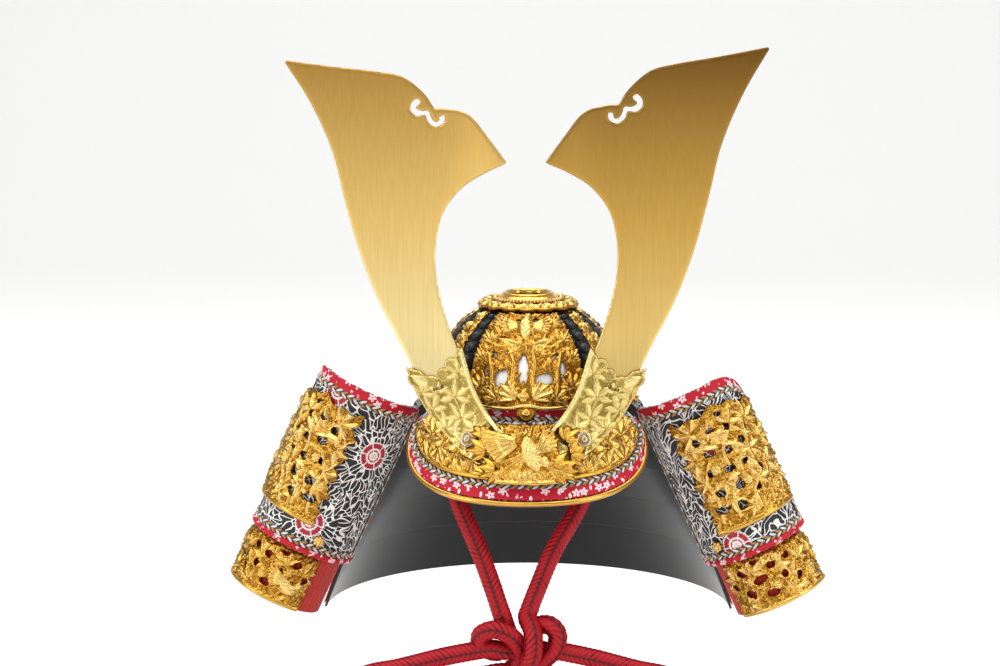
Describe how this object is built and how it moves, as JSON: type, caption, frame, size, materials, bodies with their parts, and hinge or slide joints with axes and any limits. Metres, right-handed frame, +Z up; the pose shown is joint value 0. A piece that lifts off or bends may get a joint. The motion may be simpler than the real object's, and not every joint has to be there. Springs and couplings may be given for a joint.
{
  "type": "kabuto samurai helmet",
  "caption": "Display samurai helmet with gilt openwork bowl, tall brushed horns, printed-leather turn-backs, laced neck guard and a knotted red chin cord.",
  "frame": {"origin": "centre of the bowl's rim opening, where it sits on a head", "axes": "+Z up, the face opening and the horns towards -Y, +X to the viewer's right of the front"},
  "size_m": [0.3281, 0.2119, 0.3938],
  "materials": {
    "cast_gilt": "gilt casting, bright on the high places",
    "brushed_gilt": "brushed gilt sheet",
    "pale_gilt": "satin pale gilt casting",
    "silvery_bronze": "polished",
    "silver_plate": "satin",
    "black_lacquer": "gloss",
    "matte_black_iron": "matte",
    "red_printed_leather": "printed with pale blossoms",
    "black_printed_leather": "printed with white branches and red wheels",
    "red_silk": "braided"
  },
  "bodies": {
    "root": {"back_panel": "cast_gilt", "bowl_band": "red_printed_leather", "bowl_shell": "black_lacquer", "centre_rivet": "cast_gilt", "chin_cord": "red_silk", "chin_knot": "red_silk", "cord_loop_left": "red_silk", "cord_loop_right": "red_silk", "cord_tail_left": "red_silk", "cord_tail_right": "red_silk", "crest_holder": "pale_gilt", "crest_rivet_left": "silvery_bronze", "crest_rivet_right": "silvery_bronze", "crest_sparrow": "cast_gilt", "crown_collar": "cast_gilt", "crown_plate": "cast_gilt", "front_panel": "cast_gilt", "gilt_strip_left_back_side": "cast_gilt", "gilt_strip_left_front_side": "cast_gilt", "gilt_strip_left_side": "cast_gilt", "gilt_strip_right_back_side": "cast_gilt", "gilt_strip_right_front_side": "cast_gilt", "gilt_strip_right_side": "cast_gilt", "horn_left": "brushed_gilt", "horn_right": "brushed_gilt", "lacing_1": "red_silk", "lacing_2": "red_silk", "lacing_3": "red_silk", "lacing_4": "red_silk", "lacing_5": "red_silk", "lower_plate_left": "cast_gilt", "lower_plate_right": "cast_gilt", "lower_turn_left": "red_silk", "lower_turn_right": "red_silk", "neck_lame_1": "black_lacquer", "neck_lame_2": "black_lacquer", "neck_lame_3": "black_lacquer", "neck_lame_4": "black_lacquer", "neck_lame_5": "black_lacquer", "side_rivet_left": "cast_gilt", "side_rivet_right": "cast_gilt", "silver_plate": "silver_plate", "stud_row_left_back": "matte_black_iron", "stud_row_left_front": "matte_black_iron", "stud_row_left_mid_back": "matte_black_iron", "stud_row_left_mid_front": "matte_black_iron", "stud_row_right_back": "matte_black_iron", "stud_row_right_front": "matte_black_iron", "stud_row_right_mid_back": "matte_black_iron", "stud_row_right_mid_front": "matte_black_iron", "turnback_left": "black_printed_leather", "turnback_plate_left": "cast_gilt", "turnback_plate_right": "cast_gilt", "turnback_right": "black_printed_leather", "turnback_trim_left": "red_printed_leather", "turnback_trim_right": "red_printed_leather", "visor_board": "red_printed_leather", "visor_openwork": "cast_gilt", "visor_rim": "brushed_gilt", "waist_plate": "black_lacquer"}
  },
  "joints": []
}
